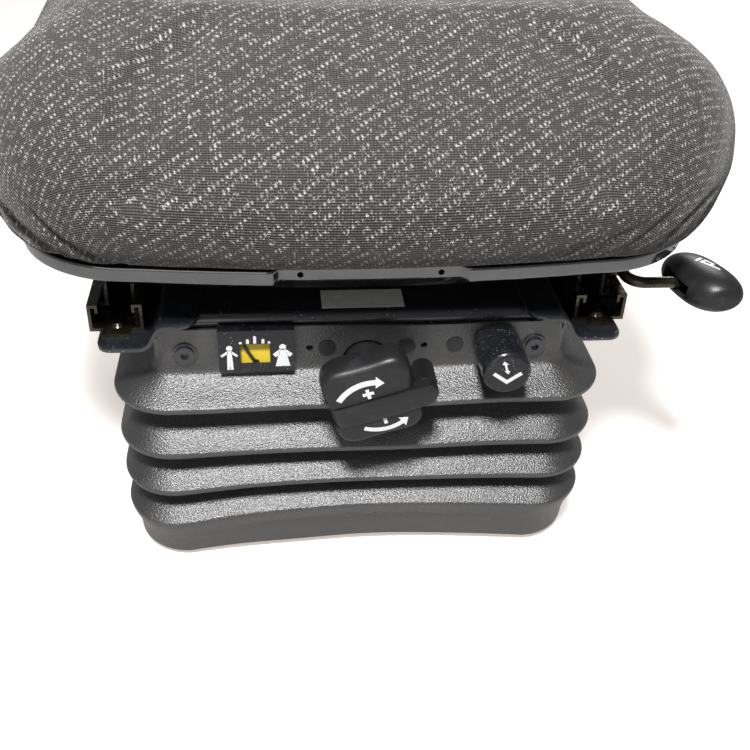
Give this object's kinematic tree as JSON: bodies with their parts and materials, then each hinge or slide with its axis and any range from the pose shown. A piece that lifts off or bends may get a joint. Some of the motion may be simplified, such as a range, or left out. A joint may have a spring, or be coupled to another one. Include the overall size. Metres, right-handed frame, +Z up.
{
  "type": "tractor suspension seat",
  "caption": "Padded tractor seat on a low scissor suspension inside a rubber bellows, with slide rails, a weight knob with a folding crank and a height knob",
  "frame": {"origin": "centre of the base's four-hole bolt pattern, on the underside that stands on the seat platform", "axes": "the sitter looks along -Y, +X is on the sitter's left, +Z is up"},
  "size_m": [0.5059, 0.51, 0.7828],
  "materials": {
    "black_steel": "satin blue-black e-coat",
    "rubber_bellows": "matte grained moulded rubber",
    "black_plastic": "semi-gloss moulded plastic",
    "soft_plastic": "matte moulded plastic",
    "rail_steel": "olive passivated and oiled",
    "zinc_steel": "bright zinc plating",
    "nylon": "natural nylon",
    "brass_pin": "plain brass",
    "dial_yellow": "printed yellow",
    "fabric": "charcoal woven cloth with pale flecks"
  },
  "bodies": {
    "base": {"base_plate": "black_steel", "base_track_left": "black_steel", "base_track_right": "black_steel", "bellows": "rubber_bellows", "bump_stops": "rubber_bellows", "damper_tube": "black_steel", "damper_lower_pin": "zinc_steel"},
    "upper_housing": {"upper_housing": "black_steel", "upper_track_left": "black_steel", "upper_track_right": "black_steel", "stop_tubes": "black_steel", "damper_rod": "zinc_steel", "damper_upper_pin": "zinc_steel", "tension_springs": "zinc_steel", "collar_fasteners": "black_steel", "collar_studs": "soft_plastic", "indicator_box": "black_plastic", "indicator_dial": "dial_yellow", "spindle_bush": "black_steel", "rail_bracket_left": "black_steel", "rail_bracket_right": "black_steel", "lower_rail_left": "rail_steel", "lower_rail_right": "rail_steel", "rail_bolts": "zinc_steel"},
    "outer_arms": {"outer_arm_left": "black_steel", "outer_arm_right": "black_steel", "outer_arm_shaft": "zinc_steel", "upper_roller_shaft": "zinc_steel", "centre_pins": "zinc_steel"},
    "inner_arms": {"inner_arm_left": "black_steel", "inner_arm_right": "black_steel", "inner_arm_shaft": "zinc_steel", "lower_roller_shaft": "zinc_steel"},
    "upper_rollers": {"upper_rollers": "nylon"},
    "lower_rollers": {"lower_rollers": "nylon"},
    "weight_knob": {"weight_knob": "black_plastic", "spindle": "zinc_steel", "crank_pin": "brass_pin"},
    "crank": {"crank_arm": "soft_plastic", "grip_pin": "zinc_steel"},
    "crank_grip": {"crank_grip": "soft_plastic"},
    "spring_yoke": {"spring_yoke": "black_steel"},
    "indicator_needle": {"indicator_needle": "soft_plastic"},
    "height_knob": {"height_knob": "black_plastic", "height_cam": "zinc_steel"},
    "seat": {"upper_rail_left": "black_steel", "upper_rail_right": "black_steel", "pan_bolts": "zinc_steel", "seat_pan": "black_steel", "seat_cushion": "fabric", "backrest_upright_left": "black_steel", "backrest_upright_right": "black_steel", "backrest_bolts": "zinc_steel", "backrest_shell": "soft_plastic", "backrest_cushion": "fabric", "lever_guides": "black_steel"},
    "slide_lever": {"slide_lever": "rail_steel", "lever_grip": "black_plastic", "rail_latch": "black_steel"}
  },
  "joints": [
    {"name": "suspension_stroke", "type": "slide", "parent": "base", "child": "upper_housing", "axis": [0, 0, 1], "range_m": [-0.06, 0], "stiffness_N_per_m": 6000, "springref_m": 0.05, "deforming": ["bellows"]},
    {"name": "outer_arm_pivot", "type": "hinge", "parent": "base", "child": "outer_arms", "pos_m": [0, 0.124, 0.017], "axis": [1, 0, 0], "range_deg": [0, 14.6]},
    {"name": "inner_arm_pivot", "type": "hinge", "parent": "upper_housing", "child": "inner_arms", "pos_m": [0, 0.124, 0.191], "axis": [1, 0, 0], "range_deg": [-14.6, 0]},
    {"name": "upper_roller_spin", "type": "hinge", "parent": "outer_arms", "child": "upper_rollers", "pos_m": [0, -0.09537, 0.191], "axis": [1, 0, 0], "continuous": true},
    {"name": "lower_roller_spin", "type": "hinge", "parent": "inner_arms", "child": "lower_rollers", "pos_m": [0, -0.09537, 0.017], "axis": [1, 0, 0], "continuous": true},
    {"name": "weight_knob_turn", "type": "hinge", "parent": "upper_housing", "child": "weight_knob", "pos_m": [0.002, 0, 0.171], "axis": [0, 1, 0], "range_deg": [0, 4320], "deforming": ["tension_springs"]},
    {"name": "yoke_travel", "type": "slide", "parent": "upper_housing", "child": "spring_yoke", "axis": [0, 1, 0], "range_m": [0, 0.024]},
    {"name": "needle_swing", "type": "hinge", "parent": "upper_housing", "child": "indicator_needle", "pos_m": [-0.074, 0, 0.1755], "axis": [0, 1, 0], "range_deg": [0, 60]},
    {"name": "crank_fold", "type": "hinge", "parent": "weight_knob", "child": "crank", "pos_m": [-0.0209, -0.2085, 0.16382], "axis": [0.299, 0, -0.9542], "range_deg": [0, 180]},
    {"name": "grip_spin", "type": "hinge", "parent": "crank", "child": "crank_grip", "pos_m": [0.0377, -0.19, 0.17747], "axis": [0, 1, 0], "continuous": true},
    {"name": "height_knob_turn", "type": "hinge", "parent": "upper_housing", "child": "height_knob", "pos_m": [0.092, -0.18, 0.1855], "axis": [0, 1, 0], "range_deg": [0, 180]},
    {"name": "seat_slide", "type": "slide", "parent": "upper_housing", "child": "seat", "axis": [0, 1, 0], "range_m": [-0.075, 0.075]},
    {"name": "slide_lever_lift", "type": "hinge", "parent": "seat", "child": "slide_lever", "pos_m": [0.184, -0.09, 0.2248], "axis": [0, -1, 0], "range_deg": [0, 15], "stiffness_Nm_per_rad": 0.5, "springref_deg": -34.38}
  ],
  "couplings": [
    {"joint": "outer_arm_pivot", "follows": "suspension_stroke", "rad_per_m": -4.241},
    {"joint": "inner_arm_pivot", "follows": "suspension_stroke", "rad_per_m": 4.241},
    {"joint": "yoke_travel", "follows": "weight_knob_turn", "m_per_rad": 0.0003183},
    {"joint": "needle_swing", "follows": "weight_knob_turn", "ratio": 0.01388}
  ]
}
